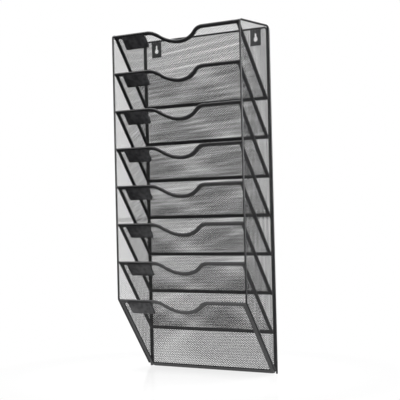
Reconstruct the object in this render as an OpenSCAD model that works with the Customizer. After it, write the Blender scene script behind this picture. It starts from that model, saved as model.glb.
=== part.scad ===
// Wall-hung mesh file rack with sloping pockets, one above the other.
// Millimetres. X runs across the rack, Y towards the wall, Z up.
// The origin lies on the wall, midway between the two keyholes.

/* [Rack] */
// Width over the side frames
rack_w = 310; // [250:1:380]
// Depth from the wall to the centre of the front wires
rack_d = 110; // [85:1:140]
// Number of pockets, one above the other
pocket_count = 8; // [4:1:11]
// Height step from one pocket to the next
pocket_step = 77; // [60:1:100]
// Height of a pocket front, from its foot to its rim
pocket_drop = 146; // [115:1:180]

/* [Wire frames] */
// Diameter of the wire in the side and back frames
wire_d = 4; // [2.5:0.1:5]
// Bend radius at the top front corner of a side, to the wire's centre
front_bend_r = 5; // [3:0.5:8]
// Bend radius at the top back corner of a side, to the wire's centre
back_bend_r = 10; // [5:0.5:14]
// Bend radius at the corners of the back frame, to the wire's centre
loop_bend_r = 6; // [3:0.5:12]
// How far the back frame's top wire lies below the sides' top wires
top_wire_drop = 2; // [0:0.5:6]
// Distance from the last pocket's foot to the end of a slanted foot wire
slant_stop = 7; // [4:0.5:20]

/* [Mesh] */
// Thickness of the mesh sheets
mesh_t = 0.6; // [0.4:0.1:1]
// Width of one diamond cell of the mesh
cell_w = 38; // [37:1:60]
// Height of one diamond cell of the mesh
cell_h = 24; // [23:1:40]
// Width of a mesh strand
strand_w = 2.8; // [1.5:0.1:4]
// Plain edge around the cells of a side or back sheet
selvedge = 3; // [2:0.5:6]
// Overlap of the upper and lower mesh sheets
lap_h = 8; // [7:1:45]
// Gap between a piece and the piece that it sits in or against
seat_gap = 0.1; // [0.05:0.05:0.2]

/* [Pocket fronts] */
// Height of the folded rim on the top edge
rim_h = 8; // [6:0.5:12]
// Height of the folded hems on the side and foot edges
hem_h = 6; // [4:0.5:10]
// Wall of the folded rims and hems on each face of the mesh
fold_wall = 1.5; // [0.8:0.1:1.8]
// Width of the finger notch, from shoulder to shoulder
notch_w = 133; // [90:1:160]
// Depth of the finger notch
notch_depth = 26; // [18:1:40]
// Radius of the notch's shoulders
shoulder_r = 38; // [20:1:44]

/* [Label holders] */
// Width of a label plate
plate_w = 57; // [40:1:70]
// Height of a label plate
plate_h = 25; // [15:1:35]
// Sheet thickness of a label plate
plate_t = 0.8; // [0.6:0.1:1.2]
// Radius of a label plate's lower corners
plate_corner_r = 2; // [1:0.5:5]
// Room for a card behind the plate
card_gap = 2.2; // [1:0.1:4]
// Distance from the left edge of the pocket front to the plate
plate_inset = 20; // [12:1:30]
// Distance from the rim's lower edge to the plate
plate_drop = 0.8; // [0.5:0.1:5]

/* [Hangers] */
// Width of a hanger plate
hanger_w = 24; // [18:1:32]
// Height of a hanger plate
hanger_h = 32; // [28:1:40]
// Sheet thickness of a hanger plate
hanger_t = 1.6; // [1:0.1:1.9]
// Distance between the two keyholes
keyhole_spacing = 244; // [160:1:250]
// Diameter of a keyhole's round part
keyhole_d = 9.5; // [7:0.5:11]
// Width of a keyhole's slot
keyslot_w = 4.5; // [3.5:0.1:5.5]
// Distance from the round part's centre to the slot's end centre
keyslot_rise = 10; // [8:0.5:12]
// Distance from the top of a hanger plate to the round part's centre
keyhole_drop = 19; // [16:0.5:22]
// Plain mesh that overlaps the edge of a hanger plate
hanger_lap = 2; // [1:0.5:4]

/* [Hidden] */
$fn = 48;
// How far a cut runs past the face that it opens
past = 1;
SOOT = "#26272a";
GRAPHITE = "#3a3b3f";
STEEL_BLACK = "#1c1c1f";

// Heights, from the keyholes up
top_wire_z = keyhole_drop + wire_d / 2;
top_z = top_wire_z + top_wire_drop;
function rim_z(i) = top_z - (i - 1) * pocket_step;
function foot_z(i) = rim_z(i) - pocket_drop;

// Widths, from the middle of the rack outwards
side_x = rack_w / 2 - wire_d / 2;
front_half = side_x - wire_d / 2 - seat_gap;
loop_x = side_x - wire_d - seat_gap;
back_half = loop_x - wire_d / 2 - seat_gap;

// Folded rims and hems hold the mesh in a slot
slot_t = mesh_t + 2 * seat_gap;
fold_t = slot_t + 2 * fold_wall;

// A pocket front leans from its foot, just before the back frame, to the front wires
lean_guess = atan2(rack_d - wire_d, pocket_drop);
foot_d = wire_d + seat_gap + fold_t / 2 * cos(lean_guess);
run = rack_d - foot_d;
lean = atan2(run, pocket_drop);
slope = norm([run, pocket_drop]);

// The frames end level with the foot of the last pocket
base_z = foot_z(pocket_count) - fold_t / 2;

// The upper and lower mesh sheets overlap behind the middle pockets
lap_bottom_z = foot_z(ceil(pocket_count / 2)) - lap_h / 2;
lap_top_z = lap_bottom_z + lap_h;

// The notch is three arcs that meet without a corner
notch_half = notch_w / 2;
arc_sum = (notch_half * notch_half + notch_depth * notch_depth) / (2 * notch_depth);
hollow_r = arc_sum - shoulder_r;

POCKETS = [for (i = [1:pocket_count]) i];

// Places

// Side drawing: x is the distance from the wall, y the height, z towards the left
module side_drawing(x) {
    translate([x, 0, 0]) rotate([90, 0, -90]) children();
}

// Back drawing: x across, y the height, z away from the wall
module back_drawing(depth) {
    translate([0, -depth, 0]) rotate([90, 0, 0]) children();
}

// Pocket drawing: x across, y up the slope from the foot, z out of the front
module pocket_drawing(i) {
    translate([0, -foot_d, foot_z(i)]) rotate([90 + lean, 0, 0]) children();
}

// Bent wire

function unit(v) = v / norm(v);
function left_of(v) = [-v[1], v[0]];
function angle_of(v) = atan2(v[1], v[0]);
function ahead(path, i) = unit(path[(i + 1) % len(path)] - path[i]);
function behind(path, i) = unit(path[i] - path[(i + len(path) - 1) % len(path)]);
function turn(path, i) =
    let (a = behind(path, i), b = ahead(path, i)) atan2(cross(a, b), a * b);
function trim(path, radii, i) =
    radii[i] == 0 ? 0 : radii[i] * tan(abs(turn(path, i)) / 2);

// Wire from one corner of its path onwards, drawn from the leg's start along +x
module wire_from(path, radii, i) {
    next = (i + 1) % len(path);
    length = norm(path[next] - path[i]) - trim(path, radii, i) - trim(path, radii, next);
    legs = radii[0] == 0 ? len(path) - 1 : len(path);
    angle = turn(path, next);
    centre = [length, radii[next] * sign(angle), 0];
    rotate([0, 90, 0]) cylinder(d = wire_d, h = length);
    if (radii[next] > 0)
        translate(centre) {
            rotate(angle > 0 ? -90 : 90 + angle)
                rotate_extrude(angle = abs(angle)) translate([radii[next], 0]) circle(d = wire_d);
            if (i + 1 < legs)
                rotate(angle) translate([0, -centre[1], 0]) wire_from(path, radii, i + 1);
        }
}

// Wire along a flat path of corners with their bend radii; end radii of 0 leave it open
module bent_wire(path, radii) {
    translate(path[0] + ahead(path, 0) * trim(path, radii, 0))
        rotate(angle_of(ahead(path, 0))) wire_from(path, radii, 0);
}

// Mesh

// Diamond openings centred on the drawing, out to the given reach
module diamonds(reach_x, reach_y) {
    half = [cell_w / 2, cell_h / 2];
    share = 1 - strand_w / 2 * norm(half) / (half[0] * half[1]);
    tip = half * share;
    columns = ceil(reach_x / cell_w);
    rows = ceil(reach_y / cell_h);
    for (column = [-columns:columns], row = [-rows:rows], shift = [0, 0.5])
        translate([(column + shift) * cell_w, (row + shift) * cell_h])
            polygon([[-tip[0], 0], [0, -tip[1]], [tip[0], 0], [0, tip[1]]]);
}

// Sheet of the first child's outline, with openings over the second child's outline
module mesh_sheet(centre, reach) {
    linear_extrude(mesh_t, center = true)
        difference() {
            children(0);
            intersection() {
                children(1);
                translate(centre) diamonds(reach[0], reach[1]);
            }
        }
}

// Outline of a side between two heights, drawn in from the wires and their bends by the inset
module side_outline(low, high, inset) {
    clear = wire_d / 2 + seat_gap + inset;
    near = wire_d / 2 + clear;
    far = rack_d - clear;
    slant_z = foot_z(pocket_count) - foot_d / tan(lean) + clear / sin(lean);
    near_floor = max(low + inset, slant_z + near / tan(lean));
    far_floor = max(low + inset, slant_z + far / tan(lean));
    ceiling = high == top_z ? top_z - clear : high - inset;
    near_cut = back_bend_r - wire_d / 2;
    far_cut = front_bend_r - wire_d / 2;
    square_top = [[far, ceiling], [near, ceiling]];
    cut_top = [
        [far, ceiling - far_cut],
        [far - far_cut, ceiling],
        [near + near_cut, ceiling],
        [near, ceiling - near_cut]
    ];
    polygon(concat([[near, near_floor], [far, far_floor]], high == top_z ? cut_top : square_top));
}

// Region of a pocket front under its top edge, drawn in by the inset
module under_rim(inset, half, low) {
    high = slope - inset;
    shoulder_y = slope - shoulder_r;
    reach = shoulder_r - inset;
    hollow_y = slope - notch_depth + hollow_r;
    meet_x = notch_half * (1 - reach / arc_sum);
    meet_y = shoulder_y + (hollow_y - shoulder_y) * reach / arc_sum;
    difference() {
        translate([-half, low]) square([2 * half, high - low]);
        difference() {
            union() {
                polygon([
                    [-notch_half, high + past],
                    [-notch_half, shoulder_y],
                    [-meet_x, meet_y],
                    [meet_x, meet_y],
                    [notch_half, shoulder_y],
                    [notch_half, high + past]
                ]);
                translate([0, hollow_y]) circle(r = hollow_r + inset);
            }
            for (side = [-1, 1]) translate([side * notch_half, shoulder_y]) circle(r = reach);
        }
    }
}

// Frames

// Cut across the corner where a side's front leg meets its slanted foot wire
module corner_cut(from, to) {
    translate([rack_d, rim_z(pocket_count)])
        rotate(-90 - lean / 2)
            translate([from, -wire_d, -wire_d]) cube([to - from, 2 * wire_d, 2 * wire_d]);
}

module side_frame(x) {
    path = [
        [wire_d / 2, base_z],
        [wire_d / 2, top_z],
        [rack_d, top_z],
        [rack_d, rim_z(pocket_count) - wire_d]
    ];
    color(STEEL_BLACK)
        side_drawing(x)
            difference() {
                bent_wire(path, [0, back_bend_r, front_bend_r, 0]);
                corner_cut(-seat_gap / 2, 2 * wire_d);
            }
}

module foot_wire(x) {
    color(STEEL_BLACK)
        side_drawing(x)
            difference() {
                translate([foot_d, foot_z(pocket_count)])
                    rotate(90 - lean)
                        translate([slant_stop, 0, 0])
                            rotate([0, 90, 0]) cylinder(d = wire_d, h = slope - slant_stop + wire_d);
                corner_cut(-2 * wire_d, seat_gap / 2);
            }
}

module back_frame() {
    low = base_z + wire_d / 2;
    path = [[-loop_x, low], [loop_x, low], [loop_x, top_wire_z], [-loop_x, top_wire_z]];
    color(STEEL_BLACK)
        back_drawing(wire_d / 2) bent_wire(path, [for (corner = path) loop_bend_r]);
}

// Side and back sheets

module side_mesh(side, low, high, outer) {
    x = side * (side_x + (outer ? mesh_t / 2 : -mesh_t / 2));
    color(GRAPHITE)
        side_drawing(x)
            mesh_sheet([rack_d / 2, (low + high) / 2], [rack_d / 2, (high - low) / 2]) {
                side_outline(low, high, 0);
                side_outline(low, high, selvedge);
            }
}

// Outline of the back from a sheet's lapped edge to its end, cut clear of the loop's bends
module back_outline(lap_z, end_z, inset) {
    way = sign(end_z - lap_z);
    half = back_half - inset;
    cut = loop_bend_r - wire_d / 2;
    lap = lap_z + way * inset;
    end = end_z - way * inset;
    polygon([
        [-half, lap],
        [half, lap],
        [half, end - way * cut],
        [half - cut, end],
        [-half + cut, end],
        [-half, end - way * cut]
    ]);
}

module hanger_windows(lap) {
    for (side = [-1, 1])
        translate([side * keyhole_spacing / 2, keyhole_drop - hanger_h / 2])
            square([hanger_w - 2 * lap, hanger_h - 2 * lap], center = true);
}

module back_mesh_upper() {
    end_z = top_wire_z - wire_d / 2 - seat_gap;
    middle = (lap_bottom_z + end_z) / 2;
    color(GRAPHITE)
        back_drawing(wire_d / 2 + mesh_t / 2)
            mesh_sheet([0, middle], [back_half, end_z - middle]) {
                difference() {
                    back_outline(lap_bottom_z, end_z, 0);
                    hanger_windows(hanger_lap);
                }
                difference() {
                    back_outline(lap_bottom_z, end_z, selvedge);
                    hanger_windows(-selvedge);
                }
            }
}

module back_mesh_lower() {
    end_z = base_z + wire_d + seat_gap;
    middle = (lap_top_z + end_z) / 2;
    color(GRAPHITE)
        back_drawing(wire_d / 2 - mesh_t / 2)
            mesh_sheet([0, middle], [back_half, middle - end_z]) {
                back_outline(lap_top_z, end_z, 0);
                back_outline(lap_top_z, end_z, selvedge);
            }
}

module hanger(side) {
    color(SOOT)
        translate([side * keyhole_spacing / 2, 0, 0])
            back_drawing(hanger_t / 2)
                linear_extrude(hanger_t, center = true)
                    difference() {
                        translate([-hanger_w / 2, keyhole_drop - hanger_h]) square([hanger_w, hanger_h]);
                        circle(d = keyhole_d);
                        translate([-keyslot_w / 2, 0]) square([keyslot_w, keyslot_rise]);
                        translate([0, keyslot_rise]) circle(d = keyslot_w);
                    }
}

// Pocket fronts

module pocket_mesh(i) {
    tuck = fold_wall + seat_gap;
    color(GRAPHITE)
        pocket_drawing(i)
            mesh_sheet([0, slope / 2], [front_half, slope / 2]) {
                under_rim(tuck, front_half - tuck, tuck);
                under_rim(rim_h, front_half - hem_h, hem_h);
            }
}

module pocket_rim(i) {
    color(SOOT)
        pocket_drawing(i)
            difference() {
                linear_extrude(fold_t, center = true)
                    difference() {
                        under_rim(0, front_half, 0);
                        under_rim(rim_h, front_half + past, -past);
                    }
                linear_extrude(slot_t, center = true) under_rim(fold_wall, front_half + past, -past);
            }
}

// Folded strip along x, open on its upper long edge
module hem_strip(length) {
    difference() {
        translate([-length / 2, 0, -fold_t / 2]) cube([length, hem_h, fold_t]);
        translate([-length / 2 - past, fold_wall, -slot_t / 2]) cube([length + 2 * past, hem_h, slot_t]);
    }
}

module pocket_hem(i) {
    side_length = slope - rim_h - hem_h - 2 * seat_gap;
    middle = hem_h + seat_gap + side_length / 2;
    color(SOOT)
        pocket_drawing(i) {
            hem_strip(2 * front_half);
            for (side = [-1, 1])
                translate([side * front_half, middle, 0]) rotate([0, 0, side * 90]) hem_strip(side_length);
        }
}

// Plate outline with round lower corners, drawn in from its sides and foot by the inset
module plate_outline(inset, high) {
    half = plate_w / 2 - inset;
    r = plate_corner_r;
    translate([-half, inset + r]) square([2 * half, high - inset - r]);
    translate([-half + r, inset]) square([2 * half - 2 * r, r]);
    for (side = [-1, 1]) translate([side * (half - r), inset + r]) circle(r = r);
}

// Plate stood off the mesh by returns on its sides and foot, open at the top for a card
module label_plate(i) {
    middle = -front_half + plate_inset + plate_w / 2;
    foot = slope - rim_h - plate_drop - plate_h;
    color(SOOT)
        pocket_drawing(i)
            translate([middle, foot, mesh_t / 2])
                difference() {
                    linear_extrude(card_gap + plate_t) plate_outline(0, plate_h);
                    translate([0, 0, -past])
                        linear_extrude(card_gap + past) plate_outline(plate_t, plate_h + past);
                }
}

side_frame(-side_x);  // side_frame_left
side_frame(side_x);  // side_frame_right
back_frame();
foot_wire(-side_x);  // foot_wire_left
foot_wire(side_x);  // foot_wire_right
side_mesh(-1, lap_bottom_z, top_z, false);  // side_mesh_upper_left
side_mesh(1, lap_bottom_z, top_z, false);  // side_mesh_upper_right
side_mesh(-1, base_z, lap_top_z, true);  // side_mesh_lower_left
side_mesh(1, base_z, lap_top_z, true);  // side_mesh_lower_right
back_mesh_upper();
back_mesh_lower();
hanger(-1);  // hanger_left
hanger(1);  // hanger_right
for (i = POCKETS) {
    pocket_mesh(i);
    pocket_rim(i);
    pocket_hem(i);
    label_plate(i);
}
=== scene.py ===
"""Wall-hung file rack of bent wire, fine mesh and folded sheet steel, in black powder coat."""

import math

import bpy
import numpy as np
from bpy.props import FloatProperty, FloatVectorProperty, IntProperty, PointerProperty
from bpy.types import Operator, Panel, PropertyGroup
from mathutils import Matrix, Vector


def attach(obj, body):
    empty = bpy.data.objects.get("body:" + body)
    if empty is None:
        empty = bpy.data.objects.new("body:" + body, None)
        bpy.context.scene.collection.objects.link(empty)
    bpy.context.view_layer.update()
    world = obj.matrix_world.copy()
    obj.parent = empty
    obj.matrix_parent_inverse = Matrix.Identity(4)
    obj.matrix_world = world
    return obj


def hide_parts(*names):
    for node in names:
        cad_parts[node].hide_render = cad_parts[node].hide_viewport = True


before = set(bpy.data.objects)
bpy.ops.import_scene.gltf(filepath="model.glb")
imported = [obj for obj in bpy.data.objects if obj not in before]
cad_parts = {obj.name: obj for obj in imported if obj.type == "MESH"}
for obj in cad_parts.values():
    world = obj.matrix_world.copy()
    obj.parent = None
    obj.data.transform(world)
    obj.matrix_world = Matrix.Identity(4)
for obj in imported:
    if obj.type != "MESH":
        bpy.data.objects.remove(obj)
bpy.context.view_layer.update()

bl_info = {
    "name": "Mesh File Rack",
    "version": (1, 0, 0),
    "blender": (4, 5, 0),
    "location": "3D View > Sidebar > Rack",
    "description": "Builds a wall-hung mesh file rack with sloping pockets on its solid frame",
    "category": "Add Mesh",
}

SIDES = (("left", -1), ("right", 1))

# Counts of sides and steps
WIRE_SIDES = 16
BAR_SIDES = 6
SHOULDER_STEPS = 12
BOWL_STEPS = 32
KEYHOLE_STEPS = 96

# A mesh strand's half height, and how far it lies off the sheet's middle, as shares of its width
BAR_RISE = 0.45
BAR_LEVEL = 0.2

# A fold's pressed legs: their wall, the length of their lips, and how much a lip thins
LEG_WALL = 0.0012
LIP_LENGTH = 0.0006
LIP_THIN = 0.00025

# Half of the turn that a fold's bead makes
BEAD_SWEEP = math.radians(140)

# Bevels of the plates, and where a bevel's knee lies as a share of the bevel
LABEL_BEVEL = 0.0003
RETURN_BEVEL = 0.0001
HANGER_BEVEL = 0.00025
BEVEL_KNEE = 0.3

# Edges that turn by more than this stay sharp
CREASE = math.radians(40)

# Smaller numbers count as zero
TINY = 1e-9

# Strength of the studio's light on the rack, where the white that is seen has 1
WORLD_LIGHT = 0.4

# Name, place, aim, width and watts of each lamp
LAMPS = (
    ("top", (0.05, 0.1, 1.25), (0.0, -0.05, -0.3), 1.3, 44.0),
    ("right", (1.6, -0.5, -0.05), (0.1, -0.05, -0.15), 0.7, 42.0),
    ("front", (-1.2, -1.8, 0.9), (0.0, 0.0, -0.3), 1.4, 12.0),
)


def length(label, about, metres):
    """A length property in metres."""
    return FloatProperty(
        name=label, description=about, default=metres, min=0.0, unit="LENGTH", precision=5
    )


def share(label, about, value):
    """A property from 0 to 1."""
    return FloatProperty(
        name=label, description=about, default=value, min=0.0, max=1.0, subtype="FACTOR"
    )


def shade(label, about, *linear):
    """A colour property in linear red, green and blue."""
    return FloatVectorProperty(
        name=label, description=about, default=linear, min=0.0, max=1.0, size=3, subtype="COLOR"
    )


class RackSizes(PropertyGroup):
    """Sizes of the rack and of the finer shapes that stand for its solids"""

    width: length("Width", "Width over the side wires", 0.310)
    depth: length("Depth", "From the wall to the centre of the front wires", 0.110)
    pockets: IntProperty(name="Pockets", description="Number of pockets", default=8, min=1)
    step: length("Step", "Height step from one pocket to the next", 0.077)
    drop: length("Drop", "Height of a pocket front from foot to rim", 0.146)
    wire: length("Wire", "Diameter of the frame wires", 0.004)
    front_bend: length("Front bend", "Bend radius at the front corners of a side wire", 0.005)
    back_bend: length("Back bend", "Bend radius at the top back corner of a side wire", 0.010)
    loop_bend: length("Loop bend", "Bend radius at the corners of the back loop", 0.006)
    top_drop: length("Top drop", "How far the back loop's top lies below the side wires", 0.002)
    slant_stop: length("Slant stop", "From the last foot to the end of a side wire", 0.007)
    sheet: length("Sheet", "Thickness of the mesh sheets", 0.0006)
    lap: length("Lap", "Overlap of the upper and lower mesh sheets", 0.008)
    gap: length("Gap", "Gap between pieces that sit against each other", 0.0001)
    cell_width: length("Cell width", "Width of one diamond of the mesh", 0.0060)
    cell_height: length("Cell height", "Height of one diamond of the mesh", 0.0038)
    strand: length("Strand", "Width of a mesh strand", 0.00066)
    rim: length("Rim", "Height of the folded rims", 0.008)
    hem: length("Hem", "Height of the folded hems", 0.0075)
    fold_wall: length("Fold wall", "Wall of the folds round the edge of the mesh", 0.0015)
    notch_width: length("Notch width", "Width of the finger notch", 0.133)
    notch_depth: length("Notch depth", "Depth of the finger notch", 0.026)
    shoulder: length("Shoulder", "Radius of the notch's shoulders", 0.038)
    label_width: length("Label width", "Width of a label plate", 0.057)
    label_height: length("Label height", "Height of a label plate's returns", 0.025)
    label_sheet: length("Label sheet", "Sheet thickness of a label plate", 0.0008)
    label_corner: length("Label corner", "Radius of a label plate's lower corners", 0.002)
    label_gap: length("Label gap", "Room for a label behind its plate", 0.0022)
    label_inset: length("Label inset", "From a front's left edge to its label plate", 0.020)
    label_drop: length("Label drop", "From the rim's lower edge to a label plate's returns", 0.0008)
    label_lap: length("Label lap", "How far a label plate's top lies over the rim", 0.0037)
    hanger_width: length("Hanger width", "Width of a hanger plate", 0.024)
    hanger_height: length("Hanger height", "Height of a hanger plate", 0.032)
    hanger_sheet: length("Hanger sheet", "Sheet thickness of a hanger plate", 0.0016)
    hanger_lap: length("Hanger lap", "Mesh that overlaps the edge of a hanger plate", 0.002)
    keyhole_spacing: length("Keyhole spacing", "Distance between the two keyholes", 0.244)
    keyhole: length("Keyhole", "Diameter of a keyhole's round part", 0.0095)
    keyslot: length("Keyslot", "Width of a keyhole's slot", 0.0045)
    keyslot_rise: length("Keyslot rise", "From the round part to the slot's end, by centres", 0.010)
    keyhole_drop: length("Keyhole drop", "From a plate's top to the round part's centre", 0.019)


class RackFinish(PropertyGroup):
    """Colours and shine of the powder coat, and the floor's tone"""

    wire_coat: shade("Wire coat", "Colour of the frame wires", 0.008, 0.008, 0.009)
    mesh_coat: shade("Mesh coat", "Colour of the mesh strands", 0.005, 0.005, 0.006)
    fold_coat: shade("Fold coat", "Colour of the folded rims and hems", 0.007, 0.007, 0.008)
    plate_coat: shade("Plate coat", "Colour of the label and hanger plates", 0.008, 0.008, 0.009)
    # Painted highlight: this pale colour on fold crowns and plate bevels stands partly for edge
    # wear and partly for a highlight
    wear_and_highlight: shade("Rubbed edge", "Colour where hands rub folds and edges", 0.060, 0.060, 0.063)
    wire_shine: share("Wire shine", "Specular level of the frame wires", 0.42)
    mesh_shine: share("Mesh shine", "Specular level of the mesh strands", 0.30)
    fold_shine: share("Fold shine", "Specular level of the folded rims and hems", 0.75)
    plate_shine: share("Plate shine", "Specular level of the label and hanger plates", 0.32)
    floor: share("Floor", "Lightness of the floor sheet", 0.95)


class Layout:
    """Places that follow from the sizes, in the rack's own frame: X across, Y to the wall, Z up."""

    def __init__(self, s):
        self.sizes = s
        self.side_x = s.width / 2 - s.wire / 2
        self.front_half = self.side_x - s.wire / 2 - s.gap
        self.loop_x = self.side_x - s.wire - s.gap
        self.top_wire_z = s.keyhole_drop + s.wire / 2
        self.top_z = self.top_wire_z + s.top_drop
        self.slot = s.sheet + 2 * s.gap
        self.fold = self.slot + 2 * s.fold_wall
        rough_lean = math.atan2(s.depth - s.wire, s.drop)
        self.foot_d = s.wire + s.gap + self.fold / 2 * math.cos(rough_lean)
        run = s.depth - self.foot_d
        self.lean = math.atan2(run, s.drop)
        self.slope = math.hypot(run, s.drop)
        self.last_rim_z = self.rim_z(s.pockets)
        self.last_foot_z = self.last_rim_z - s.drop
        self.base_z = self.last_foot_z - self.fold / 2
        middle = self.rim_z(math.ceil(s.pockets / 2)) - s.drop
        self.lap_low = middle - s.lap / 2
        self.lap_high = self.lap_low + s.lap

    def rim_z(self, i):
        """Height of a pocket's top edge, counted from 1 at the top."""
        return self.top_z - (i - 1) * self.sizes.step

    def on_pocket(self, i, x, up, out):
        """Points of a pocket front: x across, up the slope from its foot, out along its normal."""
        cosine, sine = math.cos(self.lean), math.sin(self.lean)
        y = -self.foot_d - up * sine - out * cosine
        z = self.rim_z(i) - self.sizes.drop + up * cosine - out * sine
        return np.stack([x, y, z], -1)

    @staticmethod
    def on_side(across, away, high):
        """Points of a side: across from the rack's middle, away from the wall, and up."""
        return np.stack([across, -away, high], -1)

    @staticmethod
    def on_back(x, high, away):
        """Points of the back: x across, up, and away from the wall."""
        return np.stack([x, -away, high], -1)


def sizes_and_places(context):
    """The scene's sizes and the places that follow from them."""
    sizes = context.scene.rack_sizes
    return sizes, Layout(sizes)


# Shapes


def rounded_path(corners, radii, steps=10, closed=False):
    """Flat path through corners that are rounded to their radii.

    Each corner of radius r is replaced by an arc that starts and ends r times the tangent of half
    the turn away from it. Points on the arc lie at r from its centre, at equal steps of angle.
    Radius 0 keeps the corner.
    """
    corners = np.asarray(corners, float)
    count = len(corners)
    before = corners - np.roll(corners, 1, 0)
    after = np.roll(corners, -1, 0) - corners
    parts = []
    for k in range(count):
        if radii[k] == 0 or (not closed and k in (0, count - 1)):
            parts.append(corners[k : k + 1])
            continue
        a = before[k] / np.linalg.norm(before[k])
        b = after[k] / np.linalg.norm(after[k])
        turn = math.atan2(a[0] * b[1] - a[1] * b[0], a @ b)
        left = np.array([-a[1], a[0]]) * math.copysign(1, turn)
        centre = corners[k] - a * radii[k] * math.tan(abs(turn) / 2) + left * radii[k]
        angle = np.linspace(0, abs(turn), steps + 1)[:, None]
        parts.append(centre + radii[k] * (np.sin(angle) * a - np.cos(angle) * left))
    return np.concatenate(parts)


def path_normals(path, closed):
    """Left-hand normals of a flat path.

    A normal lies halfway between the legs at its point, and is long enough to keep their width.
    """
    if closed:
        legs = np.roll(path, -1, 0) - path
        legs /= np.linalg.norm(legs, axis=1)[:, None]
        before, after = np.roll(legs, 1, 0), legs
    else:
        legs = np.diff(path, axis=0)
        legs /= np.linalg.norm(legs, axis=1)[:, None]
        before, after = np.concatenate([legs[:1], legs]), np.concatenate([legs, legs[-1:]])
    normal = np.stack([-(before + after)[:, 1], (before + after)[:, 0]], 1)
    return normal * 2 / (normal**2).sum(1)[:, None]


def grid_faces(rings, around, closed):
    """Quads between neighbouring rings of points, each ring closed round its own points."""
    ring = np.arange(rings if closed else rings - 1)[:, None]
    spot = np.arange(around)[None, :]
    here, there = ring * around, (ring + 1) % rings * around
    following = (spot + 1) % around
    quads = np.stack([here + spot, here + following, there + following, there + spot], -1)
    return quads.reshape(-1, 4).tolist()


def end_faces(rings, around):
    """The two faces that close the first and the last of a row of rings."""
    last = (rings - 1) * around
    return [list(range(around))[::-1], list(range(last, last + around))]


def tube(path, radius, closed):
    """Round wire: a circle carried along a flat path.

    A ring's point at angle a lies at radius times cosine a along the path's normal and radius times
    sine a out of the path's plane. Returns flat coordinates, heights out of the plane, and faces.
    """
    angle = np.linspace(0, 2 * math.pi, WIRE_SIDES, endpoint=False)
    reach = radius * np.cos(angle)[None, :, None]
    flat = path[:, None, :] + reach * path_normals(path, closed)[:, None, :]
    lift = np.broadcast_to(radius * np.sin(angle)[None, :], flat.shape[:2])
    faces = grid_faces(len(path), WIRE_SIDES, closed)
    if not closed:
        faces += end_faces(len(path), WIRE_SIDES)
    return flat.reshape(-1, 2), lift.reshape(-1), faces


def strand_lines(loops, angle, pitch):
    """Strands of one direction across a flat outline, as the start and end of each.

    Lines a pitch apart meet an outline edge wherever its two ends lie on either side of the line.
    The meetings along a line, put in order, pair up into the stretches that lie inside the outline
    and outside its holes.
    """
    along = np.array([math.cos(angle), math.sin(angle)])
    square = np.array([-along[1], along[0]])
    start = np.concatenate(loops)
    end = np.concatenate([np.roll(loop, -1, 0) for loop in loops])
    low, high = start @ square, end @ square
    levels = np.arange(math.ceil(low.min() / pitch), math.floor(low.max() / pitch) + 1) * pitch
    meets = (low[None] <= levels[:, None]) != (high[None] <= levels[:, None])
    rise = np.where(meets, high[None] - low[None], 1.0)
    part = (levels[:, None] - low[None]) / rise
    reach = (start @ along)[None] + part * ((end - start) @ along)[None]
    reach = np.sort(np.where(meets, reach, np.inf), 1)
    pairs = reach.shape[1] // 2
    first, last = reach[:, 0 : 2 * pairs : 2], reach[:, 1 : 2 * pairs : 2]
    line, pair = np.nonzero(np.isfinite(last))
    foot = levels[line][:, None] * square
    return foot + first[line, pair][:, None] * along, foot + last[line, pair][:, None] * along


def strands(loops, s):
    """Mesh of two crossing families of straight strands over an outline, each a six-sided bar.

    The families slope up and down by the height of a diamond over its width, one just above the
    other. A bar's section is a hexagon: its points lie at the half width times the cosine and the
    half height times the sine of six equal angles. Returns flat coordinates, heights out of the
    sheet, and faces.
    """
    width, rise = s.strand, math.atan2(s.cell_height, s.cell_width)
    pitch = s.cell_height * math.cos(rise)
    angle = np.arange(BAR_SIDES) * 2 * math.pi / BAR_SIDES
    flats, lifts = [], []
    for turn, level in ((rise, BAR_LEVEL), (-rise, -BAR_LEVEL)):
        ends = np.stack(strand_lines(loops, turn, pitch), 1)
        aside = np.array([-math.sin(turn), math.cos(turn)]) * width / 2
        flat = ends[:, :, None, :] + np.cos(angle)[None, None, :, None] * aside
        lift = np.broadcast_to((level + BAR_RISE * np.sin(angle)) * width, flat.shape[:3])
        flats.append(flat.reshape(-1, 2))
        lifts.append(lift.reshape(-1))
    flat, lift = np.concatenate(flats), np.concatenate(lifts)
    start = np.arange(0, len(flat), 2 * BAR_SIDES)[:, None]
    walls = np.array(grid_faces(2, BAR_SIDES, False))
    faces = (start[:, :, None] + walls).reshape(-1, 4).tolist()
    for cap in end_faces(2, BAR_SIDES):
        faces += (start + np.array(cap)).tolist()
    return flat, lift, faces


def fold_profile(height, thick, slot, steps=14):
    """Section of a strip folded over a sheet's edge, as an outer and an inner line of equal count.

    The outer line runs up one pressed leg, round most of the bead's circle, and down the other leg.
    The inner line follows the slot and rounds its end. The first number is the distance in from the
    edge, the second the distance out of the sheet.
    """
    bead, leg, groove = thick / 2, slot / 2 + LEG_WALL, slot / 2
    lines = []
    # Radius of the bend, level of the legs, thinning of the lip and half turn, outside and inside
    for radius, side, thin, sweep in (
        (bead, leg, LIP_THIN, BEAD_SWEEP),
        (groove, groove, 0.0, math.pi / 2),
    ):
        angle = np.linspace(sweep, -sweep, steps + 1)
        bend = np.stack([bead - radius * np.cos(angle), radius * np.sin(angle)], 1)
        legs = np.array(
            [[height, side - thin], [height - LIP_LENGTH, side], [2 * bead + LIP_LENGTH, side]]
        )
        lines.append(np.concatenate([legs, bend, legs[::-1] * [1, -1]]))
    return lines


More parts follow.
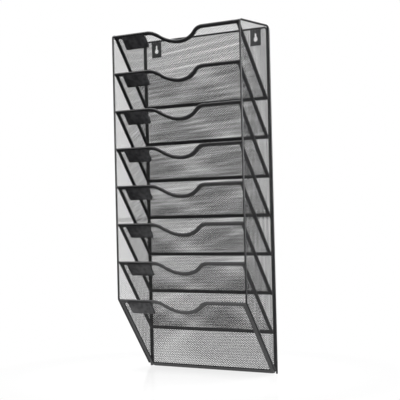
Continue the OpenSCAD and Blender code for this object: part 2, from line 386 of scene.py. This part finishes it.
def folded_strip(path, inward, profile):
    """Folded strip: a fold's section carried along the edge of a sheet.

    Each point is the edge's point plus the section's first number along the inward direction, at
    the height of its second number. Returns flat coordinates, heights, faces, and how near each
    point is to the fold's crown.
    """
    outer, inner = profile
    section = np.concatenate([outer, inner[::-1]])
    count, around = len(path), len(section)
    flat = path[:, None, :] + section[None, :, :1] * inward[:, None, :]
    lift = np.broadcast_to(section[None, :, 1], flat.shape[:2])
    faces = grid_faces(count, around, False)
    wall = np.arange(len(outer) - 1)
    cap = np.stack([wall, around - 1 - wall, around - 2 - wall, wall + 1], 1)
    faces += cap[:, ::-1].tolist()
    faces += (cap + (count - 1) * around).tolist()
    # Nearness to the crown sets the pale colour along the bead: partly wear, partly a painted
    # highlight
    crown = np.clip(1 - section[:, 0] / outer[:, 1].max(), 0, 1)
    crown[len(outer) :] = 0
    rub = np.broadcast_to(crown[None, :], flat.shape[:2])
    return flat.reshape(-1, 2), lift.reshape(-1), faces, rub.reshape(-1)


def notched_edge(s, places):
    """Top edge of a pocket front from left to right, and the way into the sheet at each point.

    Straight, a shoulder arc, the hollow's arc about a centre above the edge, a second shoulder,
    straight. The arcs meet where the line between their centres crosses them, so the edge has no
    corner.
    """
    half = s.notch_width / 2
    total = (half**2 + s.notch_depth**2) / (2 * s.notch_depth)
    hollow = total - s.shoulder
    sweep = math.asin(half / total)
    a = np.linspace(0, sweep, SHOULDER_STEPS + 1)
    b = np.linspace(-sweep, sweep, BOWL_STEPS + 1)[1:-1]
    top = places.slope
    out_a = np.stack([np.sin(a), np.cos(a)], 1)
    out_b = np.stack([np.sin(b), -np.cos(b)], 1)
    left = np.array([-half, top - s.shoulder]) + s.shoulder * out_a
    bowl = np.array([0, top - s.notch_depth + hollow]) + hollow * out_b
    mirror = np.array([-1, 1])
    ends = np.array([[-places.front_half, top], [places.front_half, top]])
    down = np.array([[0.0, -1.0]])
    path = np.concatenate([ends[:1], left, bowl, (left * mirror)[::-1], ends[1:]])
    inward = np.concatenate([down, -out_a, out_b, (-out_a * mirror)[::-1], down])
    return path, inward


def rounded_slab(width, height, low_corner, high_corner, thick, bevel, steps=5):
    """Flat plate with round corners and bevelled edges, standing on the plane.

    Rings of one outline: out along the foot bevel, up the wall, in along the top bevel. A ring's
    points are the corner centres plus the corner radius less the ring's inset, turned through a
    quarter at each corner. Returns flat coordinates, heights, faces and the rub on the bevels,
    which pales them partly as wear and partly as a painted highlight.
    """
    angle = np.linspace(0, math.pi / 2, steps + 1)
    quarter = np.concatenate([angle + k * math.pi / 2 for k in range(4)])
    turn = np.stack([np.cos(quarter), np.sin(quarter)], 1)
    signs = np.repeat(np.array([[1, 1], [-1, 1], [-1, -1], [1, -1]]), steps + 1, 0)
    corner = np.where(signs[:, 1:] > 0, high_corner, low_corner)
    centre = signs * (np.array([[width / 2, height / 2]]) - corner)
    knee = bevel * BEVEL_KNEE
    # Inset, height and rub of each ring, the rub being pale edge wear and partly a painted
    # highlight
    rings = np.array(
        [
            (bevel, 0.0, 0.0),
            (0.0, bevel, 0.2),
            (0.0, thick - bevel, 0.5),
            (knee, thick - knee, 1.0),
            (bevel, thick, 0.6),
        ]
    )
    inset, level, wear_and_highlight_part = rings.T[:, :, None]
    flat = centre[None] + (corner[None] - inset[:, :, None]) * turn[None]
    lift = np.broadcast_to(level, flat.shape[:2])
    rub = np.broadcast_to(wear_and_highlight_part, flat.shape[:2])
    faces = grid_faces(len(rings), len(turn), False) + end_faces(len(rings), len(turn))
    return flat.reshape(-1, 2), lift.reshape(-1), faces, rub.reshape(-1)


def reach_to(distance, closing):
    """How far rays run to a straight edge that they close in on by a part of their length."""
    return np.where(closing > TINY, distance / np.maximum(closing, TINY), np.inf)


def keyhole_plate(s):
    """Hanger plate as one closed band between the keyhole and the plate's outline.

    Both outlines are given by their distance from the keyhole's centre at each angle: the round
    part's radius, the slot's straight walls and its round end for the hole; the nearest of the four
    edges for the plate. Returns flat coordinates, heights, faces and the rub on the bevels, which
    pales them partly as wear and partly as a painted highlight.
    """
    radius, half_slot, half = s.keyhole / 2, s.keyslot / 2, s.hanger_width / 2
    above, below = s.keyhole_drop, s.hanger_height - s.keyhole_drop
    even = np.linspace(-math.pi, math.pi, KEYHOLE_STEPS + 1)[:-1]
    corners = [math.atan2(x, y) for x in (-half, half) for y in (above, -below)]
    neck = math.asin(half_slot / radius)
    tip = math.atan2(half_slot, s.keyslot_rise)
    marks = np.array([*corners, neck, -neck, tip, -tip, tip / 2, -tip / 2, 0.0])
    angle = np.unique(np.round(np.concatenate([even, marks]), 6))
    sine, cosine = np.sin(angle), np.cos(angle)
    wide = np.abs(sine)
    side = np.sqrt(np.maximum(half_slot**2 - (s.keyslot_rise * wide) ** 2, 0))
    in_tip = np.abs(angle) <= tip + TINY
    in_neck = np.abs(angle) < neck - TINY
    hole = np.where(in_neck, reach_to(half_slot, wide), radius)
    hole = np.where(in_tip, s.keyslot_rise * cosine + side, hole)
    plate = np.minimum(reach_to(above, cosine), reach_to(below, -cosine))
    plate = np.minimum(plate, reach_to(half, wide))
    bevel, thick = HANGER_BEVEL, s.hanger_sheet
    # Distance from the keyhole's centre, height and rub of each ring, the rub being pale edge wear
    # and partly a painted highlight
    rings = (
        (hole + bevel, 0.0, 0.0),
        (hole, bevel, 0.5),
        (hole, thick - bevel, 0.8),
        (hole + bevel, thick, 1.0),
        (plate - bevel, thick, 1.0),
        (plate, thick - bevel, 0.8),
        (plate, bevel, 0.5),
        (plate - bevel, 0.0, 0.0),
    )
    reach = np.stack([ring for ring, _, _ in rings])
    level, wear_and_highlight_part = np.array([ring[1:] for ring in rings]).T[:, :, None]
    flat = np.stack([reach * sine, reach * cosine], -1)
    lift = np.broadcast_to(level, reach.shape)
    rub = np.broadcast_to(wear_and_highlight_part, reach.shape)
    faces = grid_faces(len(rings), len(angle), True)
    return flat.reshape(-1, 2), lift.reshape(-1), faces, rub.reshape(-1)


# Finishes


def noise(tree, place, scale, detail):
    """Noise of a number of lumps per metre and a number of finer layers."""
    texture = tree.nodes.new("ShaderNodeTexNoise")
    texture.inputs["Scale"].default_value = scale
    texture.inputs["Detail"].default_value = detail
    tree.links.new(place, texture.inputs["Vector"])
    return texture.outputs["Fac"]


def spread(tree, value, given=(0.0, 1.0), wanted=(0.0, 1.0)):
    """Value that runs evenly over the wanted range while another runs over the given one."""
    remap = tree.nodes.new("ShaderNodeMapRange")
    remap.inputs["From Min"].default_value, remap.inputs["From Max"].default_value = given
    remap.inputs["To Min"].default_value, remap.inputs["To Max"].default_value = wanted
    tree.links.new(value, remap.inputs["Value"])
    return remap.outputs["Result"]


def combine(tree, operation, *values):
    """Sum, product or other outcome of values that are outputs of nodes or plain numbers."""
    maths = tree.nodes.new("ShaderNodeMath")
    maths.operation = operation
    for socket, value in zip(maths.inputs, values):
        if isinstance(value, float):
            socket.default_value = value
        else:
            tree.links.new(value, socket)
    return maths.outputs["Value"]


def coat_grain():
    """Shared powder coat: cloudy colour and orange-peel relief, paler and smoother along edges.

    The paler edge colour stands partly for wear and partly for a painted highlight.
    """
    group = bpy.data.node_groups.get("coat grain")
    if group:
        return group
    group = bpy.data.node_groups.new("coat grain", "ShaderNodeTree")
    for name, way, kind in (
        ("Vector", "INPUT", "Vector"),
        ("Coat", "INPUT", "Color"),
        ("Worn_and_highlit", "INPUT", "Color"),
        ("Worn_and_highlit_share", "INPUT", "Float"),
        ("Color", "OUTPUT", "Color"),
        ("Roughness", "OUTPUT", "Float"),
        ("Normal", "OUTPUT", "Vector"),
    ):
        group.interface.new_socket(name, in_out=way, socket_type=f"NodeSocket{kind}")
    node, link = group.nodes.new, group.links.new
    inner, result = node("NodeGroupInput").outputs, node("NodeGroupOutput").inputs
    cloud = noise(group, inner["Vector"], scale=38.0, detail=4.0)
    patch = noise(group, inner["Vector"], scale=120.0, detail=5.0)
    peel = noise(group, inner["Vector"], scale=1100.0, detail=2.0)

    clouded = node("ShaderNodeVectorMath")
    clouded.operation = "SCALE"
    link(inner["Coat"], clouded.inputs[0])
    link(spread(group, cloud, given=(0.3, 0.7), wanted=(0.8, 1.2)), clouded.inputs["Scale"])
    # Patchy share of the pale colour: edge wear, and partly a painted highlight on crowns and
    # bevels
    wear_and_highlight_part = spread(group, patch, given=(0.38, 0.62), wanted=(0.25, 1.0))
    amount = combine(group, "MULTIPLY", wear_and_highlight_part, inner["Worn_and_highlit_share"])
    mix = node("ShaderNodeMix")
    mix.data_type = "RGBA"
    link(amount, mix.inputs["Factor"])
    link(clouded.outputs["Vector"], mix.inputs["A"])
    link(inner["Worn_and_highlit"], mix.inputs["B"])
    link(mix.outputs["Result"], result["Color"])

    unworn = spread(group, patch, given=(0.3, 0.7), wanted=(0.33, 0.40))
    smoothing = -0.15
    link(combine(group, "MULTIPLY_ADD", amount, smoothing, unworn), result["Roughness"])

    relief = node("ShaderNodeBump")
    relief.inputs["Strength"].default_value = 0.35
    relief.inputs["Distance"].default_value = 0.00012
    link(peel, relief.inputs["Height"])
    link(relief.outputs["Normal"], result["Normal"])
    return group


def powder_coat(context, kind):
    """Black powder coat of the wires, mesh, folds or plates, with the piece's own rub values.

    The rub values pale the coat partly as wear and partly as a painted highlight.
    """
    material = bpy.data.materials.get(f"{kind} coat")
    if material:
        return material
    finish = context.scene.rack_finish
    material = bpy.data.materials.new(f"{kind} coat")
    material.use_nodes = True
    tree = material.node_tree
    shader = tree.nodes["Principled BSDF"]
    shader.inputs["Specular IOR Level"].default_value = getattr(finish, f"{kind}_shine")
    place = tree.nodes.new("ShaderNodeTexCoord")
    turn = tree.nodes.new("ShaderNodeMapping")
    turn.inputs["Rotation"].default_value = (0.3, 0.5, 0.2)
    # The rub attribute places the pale colour: partly wear, partly a painted highlight
    rub = tree.nodes.new("ShaderNodeAttribute")
    rub.attribute_name = "rub"
    grain = tree.nodes.new("ShaderNodeGroup")
    grain.node_tree = coat_grain()
    grain.inputs["Coat"].default_value = (*getattr(finish, f"{kind}_coat"), 1.0)
    grain.inputs["Worn_and_highlit"].default_value = (*finish.wear_and_highlight, 1.0)
    link = tree.links.new
    link(place.outputs["Object"], turn.inputs["Vector"])
    link(turn.outputs["Vector"], grain.inputs["Vector"])
    link(rub.outputs["Fac"], grain.inputs["Worn_and_highlit_share"])
    link(grain.outputs["Color"], shader.inputs["Base Color"])
    link(grain.outputs["Roughness"], shader.inputs["Roughness"])
    link(grain.outputs["Normal"], shader.inputs["Normal"])
    return material


# Pieces


def add_piece(context, name, points, faces, kind, nodes, rub=0.0):
    """Puts a surface into the scene as a piece that stands for solids and rides on the rack."""
    mesh = bpy.data.meshes.new(name)
    mesh.from_pydata(points.tolist(), [], faces)
    mesh.update()
    mesh.validate()
    # The rub values mark the pale edge colour, partly wear and partly a painted highlight
    values = np.zeros(len(mesh.vertices), np.float32)
    values[:] = rub
    mesh.attributes.new("rub", "FLOAT", "POINT").data.foreach_set("value", values)
    mesh.polygons.foreach_set("use_smooth", np.ones(len(mesh.polygons), bool))
    mesh.set_sharp_from_angle(angle=CREASE)
    mesh.materials.append(powder_coat(context, kind))
    piece = bpy.data.objects.new(name, mesh)
    context.scene.collection.objects.link(piece)
    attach(piece, "root")
    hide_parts(*nodes)


def add_to_pockets(context, name, solid, flat, lift, faces, kind, rub=0.0):
    """Puts one shape, laid out on a pocket front, on every front."""
    s, places = sizes_and_places(context)
    for i in range(1, s.pockets + 1):
        points = places.on_pocket(i, flat[:, 0], flat[:, 1], lift)
        add_piece(context, f"{name}_{i}", points, faces, kind, (f"{solid}_{i}",), rub)


class RACK_OT_wires(Operator):
    """Bends the side wires and the back loop"""

    bl_idname = "rack.wires"
    bl_label = "Wire Frames"

    def execute(self, context):
        s, places = sizes_and_places(context)
        radius = s.wire / 2
        lean = np.array([math.sin(places.lean), math.cos(places.lean)])
        corners = [
            [radius, places.base_z],
            [radius, places.top_z],
            [s.depth, places.top_z],
            [s.depth, places.last_rim_z],
            np.array([places.foot_d, places.last_foot_z]) + s.slant_stop * lean,
        ]
        path = rounded_path(corners, [0, s.back_bend, s.front_bend, s.front_bend, 0])
        flat, lift, faces = tube(path, radius, closed=False)
        for word, way in SIDES:
            points = places.on_side(way * places.side_x - lift, flat[:, 0], flat[:, 1])
            nodes = (f"side_frame_{word}", f"foot_wire_{word}")
            add_piece(context, f"side_wire_{word}", points, faces, "wire", nodes)
        x, low, high = places.loop_x, places.base_z + radius, places.top_wire_z
        corners = [[-x, low], [x, low], [x, high], [-x, high]]
        path = rounded_path(corners, [s.loop_bend] * len(corners), closed=True)
        flat, lift, faces = tube(path, radius, closed=True)
        points = places.on_back(flat[:, 0], flat[:, 1], radius + lift)
        add_piece(context, "back_loop", points, faces, "wire", ("back_frame",))
        return {"FINISHED"}


class RACK_OT_side_mesh(Operator):
    """Stretches the upper and lower mesh sheets over the sides"""

    bl_idname = "rack.side_mesh"
    bl_label = "Side Mesh"

    def execute(self, context):
        s, places = sizes_and_places(context)
        near, far = s.wire / 2, s.depth
        low, high = places.base_z + s.wire / 2, places.top_z
        lap_low, lap_high = places.lap_low, places.lap_high
        last_rim = places.last_rim_z
        slant = places.foot_d + (low - places.last_foot_z) * math.tan(places.lean)
        # Name, corners, corner radii and offset outwards of each sheet
        sheets = (
            (
                "upper",
                [[near, lap_low], [far, lap_low], [far, high], [near, high]],
                [0, 0, s.front_bend, s.back_bend],
                -s.sheet / 2,
            ),
            (
                "lower",
                [[near, low], [slant, low], [far, last_rim], [far, lap_high], [near, lap_high]],
                [0, 0, s.front_bend, 0, 0],
                s.sheet / 2,
            ),
        )
        for part, corners, radii, layer in sheets:
            flat, lift, faces = strands([rounded_path(corners, radii, closed=True)], s)
            for word, way in SIDES:
                across = way * (places.side_x + layer + lift)
                points = places.on_side(across, flat[:, 0], flat[:, 1])
                turned = faces if way < 0 else [face[::-1] for face in faces]
                name, nodes = f"side_strands_{part}_{word}", (f"side_mesh_{part}_{word}",)
                add_piece(context, name, points, turned, "mesh", nodes)
        return {"FINISHED"}


class RACK_OT_back_mesh(Operator):
    """Stretches the upper and lower mesh sheets over the back, open behind the hanger plates"""

    bl_idname = "rack.back_mesh"
    bl_label = "Back Mesh"

    def execute(self, context):
        s, places = sizes_and_places(context)
        x, low, high = places.loop_x, places.base_z + s.wire / 2, places.top_wire_z
        lap_low, lap_high, bend = places.lap_low, places.lap_high, s.loop_bend
        upper = [[-x, lap_low], [x, lap_low], [x, high], [-x, high]]
        lower = [[-x, low], [x, low], [x, lap_high], [-x, lap_high]]
        upper = rounded_path(upper, [0, 0, bend, bend], closed=True)
        lower = rounded_path(lower, [bend, bend, 0, 0], closed=True)
        half = s.hanger_width / 2 - s.hanger_lap
        top = s.keyhole_drop - s.hanger_lap
        foot = s.keyhole_drop - s.hanger_height + s.hanger_lap
        window = np.array([[-half, foot], [half, foot], [half, top], [-half, top]])
        windows = [window + [way * s.keyhole_spacing / 2, 0] for _, way in SIDES]
        sheets = (("upper", [upper, *windows], s.sheet / 2), ("lower", [lower], -s.sheet / 2))
        for part, loops, layer in sheets:
            flat, lift, faces = strands(loops, s)
            points = places.on_back(flat[:, 0], flat[:, 1], s.wire / 2 + layer + lift)
            name, nodes = f"back_strands_{part}", (f"back_mesh_{part}",)
            add_piece(context, name, points, faces, "mesh", nodes)
        return {"FINISHED"}


class RACK_OT_pocket_mesh(Operator):
    """Cuts the mesh sheets of the pocket fronts, with the finger notch in their top edges"""

    bl_idname = "rack.pocket_mesh"
    bl_label = "Pocket Mesh"

    def execute(self, context):
        s, places = sizes_and_places(context)
        tuck = s.fold_wall + s.gap
        path, inward = notched_edge(s, places)
        edge = path + inward * tuck
        half = places.front_half - tuck
        edge[0, 0], edge[-1, 0] = -half, half
        loop = np.concatenate([edge[::-1], [[-half, tuck], [half, tuck]]])
        flat, lift, faces = strands([loop], s)
        add_to_pockets(context, "pocket_strands", "pocket_mesh", flat, lift, faces, "mesh")
        return {"FINISHED"}


class RACK_OT_rims(Operator):
    """Folds the rims over the top edges of the pocket fronts"""

    bl_idname = "rack.rims"
    bl_label = "Rims"

    def execute(self, context):
        s, places = sizes_and_places(context)
        path, inward = notched_edge(s, places)
        profile = fold_profile(s.rim, places.fold, places.slot)
        flat, lift, faces, rub = folded_strip(path, inward, profile)
        # The rub pales the rim's crown: partly wear, partly a painted highlight along the bead
        add_to_pockets(context, "rim_fold", "pocket_rim", flat, lift, faces, "fold", rub)
        return {"FINISHED"}


class RACK_OT_hems(Operator):
    """Folds the hems over the side and foot edges of the pocket fronts"""

    bl_idname = "rack.hems"
    bl_label = "Hems"

    def execute(self, context):
        s, places = sizes_and_places(context)
        half, high = places.front_half, places.slope - s.rim - s.gap
        path = np.array([[-half, high], [-half, 0.0], [half, 0.0], [half, high]])
        inward = np.array([[1.0, 0.0], [1.0, 1.0], [-1.0, 1.0], [-1.0, 0.0]])
        profile = fold_profile(s.hem, places.fold, places.slot)
        flat, lift, faces, rub = folded_strip(path, inward, profile)
        # The rub pales the hem's crown: partly wear, partly a painted highlight along the bead
        add_to_pockets(context, "hem_fold", "pocket_hem", flat, lift, faces, "fold", rub)
        return {"FINISHED"}


class RACK_OT_labels(Operator):
    """Sets the label plates on the pocket fronts, stood off the mesh by returns on three sides"""

    bl_idname = "rack.labels"
    bl_label = "Label Plates"

    def execute(self, context):
        s, places = sizes_and_places(context)
        t, wide, tall, corner = s.label_sheet, s.label_width, s.label_height, s.label_corner
        rise = s.label_drop + s.label_lap
        face = (corner, 2 * LABEL_BEVEL, t, LABEL_BEVEL)
        strip = (2 * RETURN_BEVEL, 2 * RETURN_BEVEL, s.label_gap + RETURN_BEVEL, RETURN_BEVEL)
        # Shape, place and height of the face and of its left, right and lower returns
        slabs = (
            ((wide, tall + rise, *face), (0.0, rise / 2), s.label_gap),
            ((t, tall - corner, *strip), ((t - wide) / 2, corner / 2), 0.0),
            ((t, tall - corner, *strip), ((wide - t) / 2, corner / 2), 0.0),
            ((wide - 2 * corner, t, *strip), (0.0, (t - tall) / 2), 0.0),
        )
        x = -places.front_half + s.label_inset + wide / 2
        up = places.slope - s.rim - s.label_drop - tall / 2
        flats, lifts, faces, wear_and_highlight_shares = [], [], [], []
        start = 0
        for shape, spot, level in slabs:
            flat, lift, quads, rub = rounded_slab(*shape)
            flats.append(flat + spot + (x, up))
            lifts.append(lift + level + s.sheet / 2)
            faces += [[index + start for index in quad] for quad in quads]
            wear_and_highlight_shares.append(rub)
            start += len(flat)
        flat, lift, rub = np.concatenate(flats), np.concatenate(lifts), np.concatenate(wear_and_highlight_shares)
        # The rub pales the plate's bevels: partly wear, partly a painted highlight
        add_to_pockets(context, "label_holder", "label_plate", flat, lift, faces, "plate", rub)
        return {"FINISHED"}


class RACK_OT_hangers(Operator):
    """Sets the two keyhole plates under the back loop's top wire"""

    bl_idname = "rack.hangers"
    bl_label = "Hangers"

    def execute(self, context):
        s, places = sizes_and_places(context)
        flat, lift, faces, rub = keyhole_plate(s)
        for word, way in SIDES:
            points = places.on_back(flat[:, 0] + way * s.keyhole_spacing / 2, flat[:, 1], lift)
            name, nodes = f"hanger_tab_{word}", (f"hanger_{word}",)
            # The rub pales the hanger's bevels: partly wear, partly a painted highlight
            add_piece(context, name, points, faces, "plate", nodes, rub)
        return {"FINISHED"}


# Stage


def seen_rays(tree):
    """1 for rays from the camera, through clear things or off glossy ones, and 0 for the rest."""
    path = tree.nodes.new("ShaderNodeLightPath").outputs
    straight = combine(tree, "MAXIMUM", path["Is Camera Ray"], path["Is Transmission Ray"])
    return combine(tree, "MAXIMUM", straight, path["Is Glossy Ray"])


def lay_floor(context, height, lightness):
    """Pale sheet under the rack on a darker floor.

    The camera sees both as white, apart from a weak shadow and reflection on the sheet. The sheet
    fades out with the distance from a point under the rack.
    """
    reach = 6.0
    corners = [(-reach, -reach), (reach, -reach), (reach, reach), (-reach, reach)]
    mesh = bpy.data.meshes.new("floor")
    mesh.from_pydata([(x, y, height) for x, y in corners], [], [(0, 1, 2, 3)])
    material = bpy.data.materials.new("pale floor")
    material.use_nodes = True
    tree = material.node_tree
    node, link = tree.nodes.new, tree.links.new
    paint = tree.nodes["Principled BSDF"]
    paint.inputs["Roughness"].default_value = 0.12
    white = node("ShaderNodeEmission")
    path = node("ShaderNodeLightPath")
    place = node("ShaderNodeTexCoord")
    middle = node("ShaderNodeMapping")
    middle.inputs["Location"].default_value = (0.0, 0.1, -height)
    near = node("ShaderNodeTexGradient")
    near.gradient_type = "SPHERICAL"
    mix = node("ShaderNodeMixShader")
    link(place.outputs["Object"], middle.inputs["Vector"])
    link(middle.outputs["Vector"], near.inputs["Vector"])
    sheet = spread(tree, near.outputs["Fac"], given=(0.56, 0.74), wanted=(0.05, lightness))
    cover = spread(tree, near.outputs["Fac"], given=(0.55, 0.90), wanted=(1.0, 0.75))
    strength = combine(tree, "MAXIMUM", path.outputs["Is Camera Ray"], sheet)
    link(sheet, paint.inputs["Base Color"])
    link(strength, white.inputs["Strength"])
    link(combine(tree, "MULTIPLY", seen_rays(tree), cover), mix.inputs["Fac"])
    link(paint.outputs["BSDF"], mix.inputs[1])
    link(white.outputs["Emission"], mix.inputs[2])
    link(mix.outputs["Shader"], tree.nodes["Material Output"].inputs["Surface"])
    mesh.materials.append(material)
    floor = bpy.data.objects.new("floor", mesh)
    context.scene.collection.objects.link(floor)


def light_world(scene):
    """Even soft studio light, white to the camera, through clear things and in glossy ones."""
    world = bpy.data.worlds.new("studio")
    world.use_nodes = True
    tree = world.node_tree
    glow = tree.nodes["Background"]
    glow.inputs["Color"].default_value = (1.0, 1.0, 1.0, 1.0)
    level = spread(tree, seen_rays(tree), wanted=(WORLD_LIGHT, 1.0))
    tree.links.new(level, glow.inputs["Strength"])
    scene.world = world


def add_lamp(context, name, place, target, size, power):
    """Square soft lamp that faces a point."""
    lamp = bpy.data.lights.new(name, "AREA")
    lamp.size = size
    lamp.energy = power
    holder = bpy.data.objects.new(name, lamp)
    turn = (Vector(target) - Vector(place)).to_track_quat("-Z", "Y")
    holder.matrix_world = Matrix.Translation(place) @ turn.to_matrix().to_4x4()
    context.scene.collection.objects.link(holder)


def set_camera(context):
    """Long lens from the front right, level with the middle of the rack.

    The camera stands at its distance from the point it aims at, turned right by the azimuth and up
    by the elevation, and is rolled about its own axis.
    """
    aim = Vector((0.045, -0.0986, -0.3184))
    distance = 2.2
    azimuth, elevation, roll = np.radians([33.865, -0.756, -1.356])
    camera = bpy.data.cameras.new("camera")
    camera.lens = 101.18
    camera.sensor_width = 36.0
    camera.clip_end = 50.0
    holder = bpy.data.objects.new("camera", camera)
    turn = Matrix.Rotation(azimuth, 4, "Z") @ Matrix.Rotation(math.pi / 2 - elevation, 4, "X")
    away = Matrix.Translation((0.0, 0.0, distance))
    holder.matrix_world = Matrix.Translation(aim) @ turn @ Matrix.Rotation(roll, 4, "Z") @ away
    context.scene.collection.objects.link(holder)
    context.scene.camera = holder


class RACK_OT_stage(Operator):
    """Lays the floor, sets the lights and the world, and places the camera"""

    bl_idname = "rack.stage"
    bl_label = "Stage"

    def execute(self, context):
        scene = context.scene
        _, places = sizes_and_places(context)
        lay_floor(context, places.base_z, scene.rack_finish.floor)
        light_world(scene)
        for lamp in LAMPS:
            add_lamp(context, *lamp)
        set_camera(context)
        scene.view_settings.view_transform = "Standard"
        return {"FINISHED"}


# Panel and main


class RACK_PT_panel(Panel):
    """Lists the rack's pieces and its sizes"""

    bl_idname = "RACK_PT_panel"
    bl_label = "Mesh File Rack"
    bl_space_type = "VIEW_3D"
    bl_region_type = "UI"
    bl_category = "Rack"

    def draw(self, context):
        layout = self.layout
        for operator in OPERATORS:
            layout.operator(operator.bl_idname)
        for group in (context.scene.rack_sizes, context.scene.rack_finish):
            box = layout.box()
            for name in group.__annotations__:
                box.prop(group, name)


OPERATORS = (
    RACK_OT_wires,
    RACK_OT_side_mesh,
    RACK_OT_back_mesh,
    RACK_OT_pocket_mesh,
    RACK_OT_rims,
    RACK_OT_hems,
    RACK_OT_labels,
    RACK_OT_hangers,
    RACK_OT_stage,
)
CLASSES = (RackSizes, RackFinish, *OPERATORS, RACK_PT_panel)


def register():
    """Adds the classes and their settings."""
    for kind in CLASSES:
        bpy.utils.register_class(kind)
    bpy.types.Scene.rack_sizes = PointerProperty(type=RackSizes)
    bpy.types.Scene.rack_finish = PointerProperty(type=RackFinish)


def unregister():
    """Takes the classes and their settings away again."""
    del bpy.types.Scene.rack_finish
    del bpy.types.Scene.rack_sizes
    for kind in reversed(CLASSES):
        bpy.utils.unregister_class(kind)


def main():
    """Builds the rack piece by piece."""
    register()
    bpy.ops.rack.wires()
    bpy.ops.rack.side_mesh()
    bpy.ops.rack.back_mesh()
    bpy.ops.rack.pocket_mesh()
    bpy.ops.rack.rims()
    bpy.ops.rack.hems()
    bpy.ops.rack.labels()
    bpy.ops.rack.hangers()
    bpy.ops.rack.stage()


if __name__ == "__main__":
    main()
